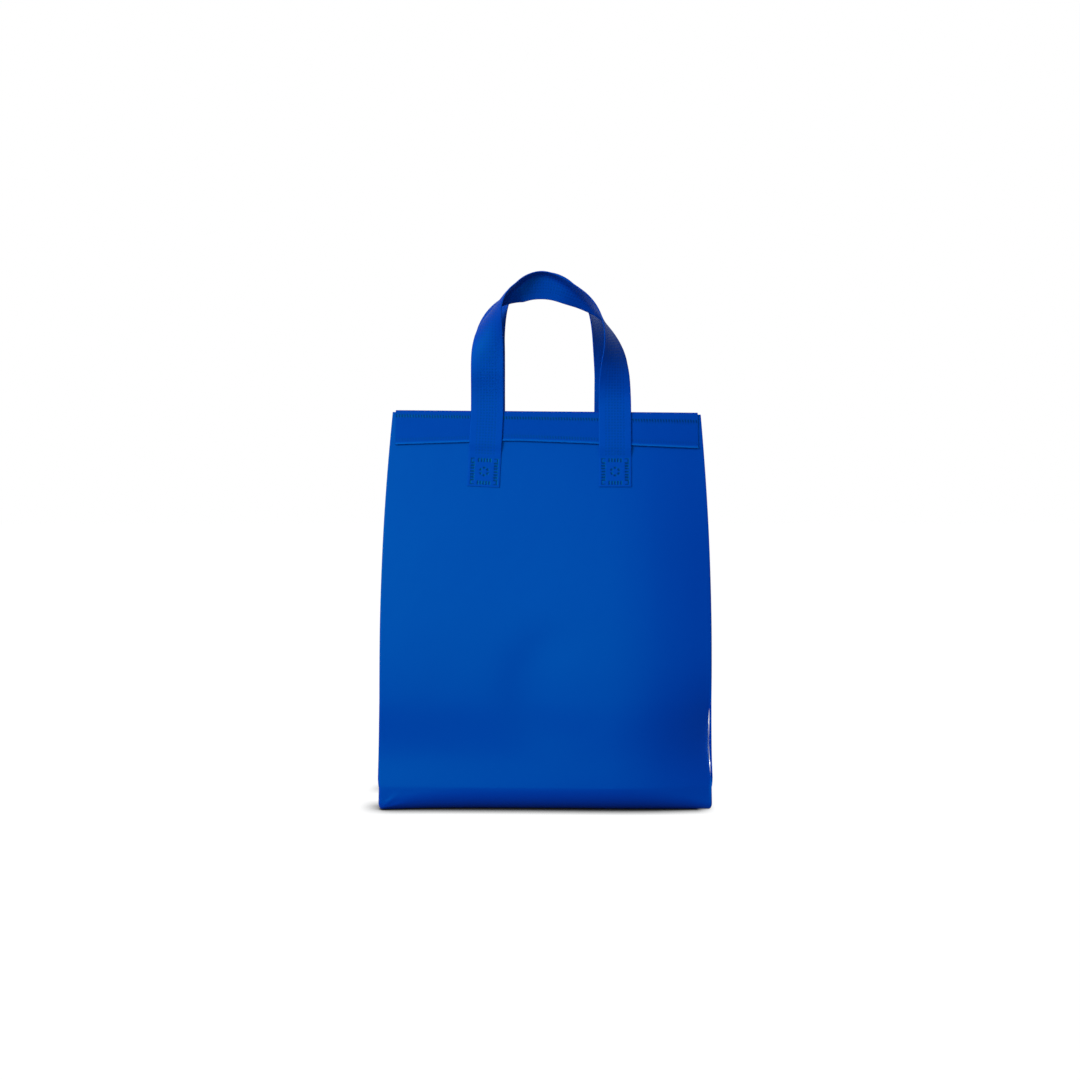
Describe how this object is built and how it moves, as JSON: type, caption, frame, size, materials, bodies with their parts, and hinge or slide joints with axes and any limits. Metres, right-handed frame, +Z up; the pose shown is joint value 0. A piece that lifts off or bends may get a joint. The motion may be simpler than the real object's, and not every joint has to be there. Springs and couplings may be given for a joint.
{
  "type": "insulated shopping bag",
  "caption": "Soft insulated carrier with folding side gussets, a flat base, a foil lining, a welded band along the mouth and strap handles.",
  "frame": {"origin": "middle of the base, on the ground", "axes": "+Z up from the base to the handles, front panel towards -Y, width along X"},
  "size_m": [0.3, 0.126, 0.4932],
  "materials": {
    "shell_fabric": "laminated, low sheen",
    "strap_fabric": "matt, bonded in a dot pattern",
    "tape_fabric": "matt pile",
    "foil_lining": "metallised film on foam"
  },
  "bodies": {
    "root": {"outer_shell": "shell_fabric", "insulating_lining": "foil_lining", "front_rim_band": "shell_fabric", "back_rim_band": "shell_fabric", "hook_tape": "tape_fabric", "loop_tape": "tape_fabric", "front_handle": "strap_fabric", "back_handle": "strap_fabric"}
  },
  "joints": []
}
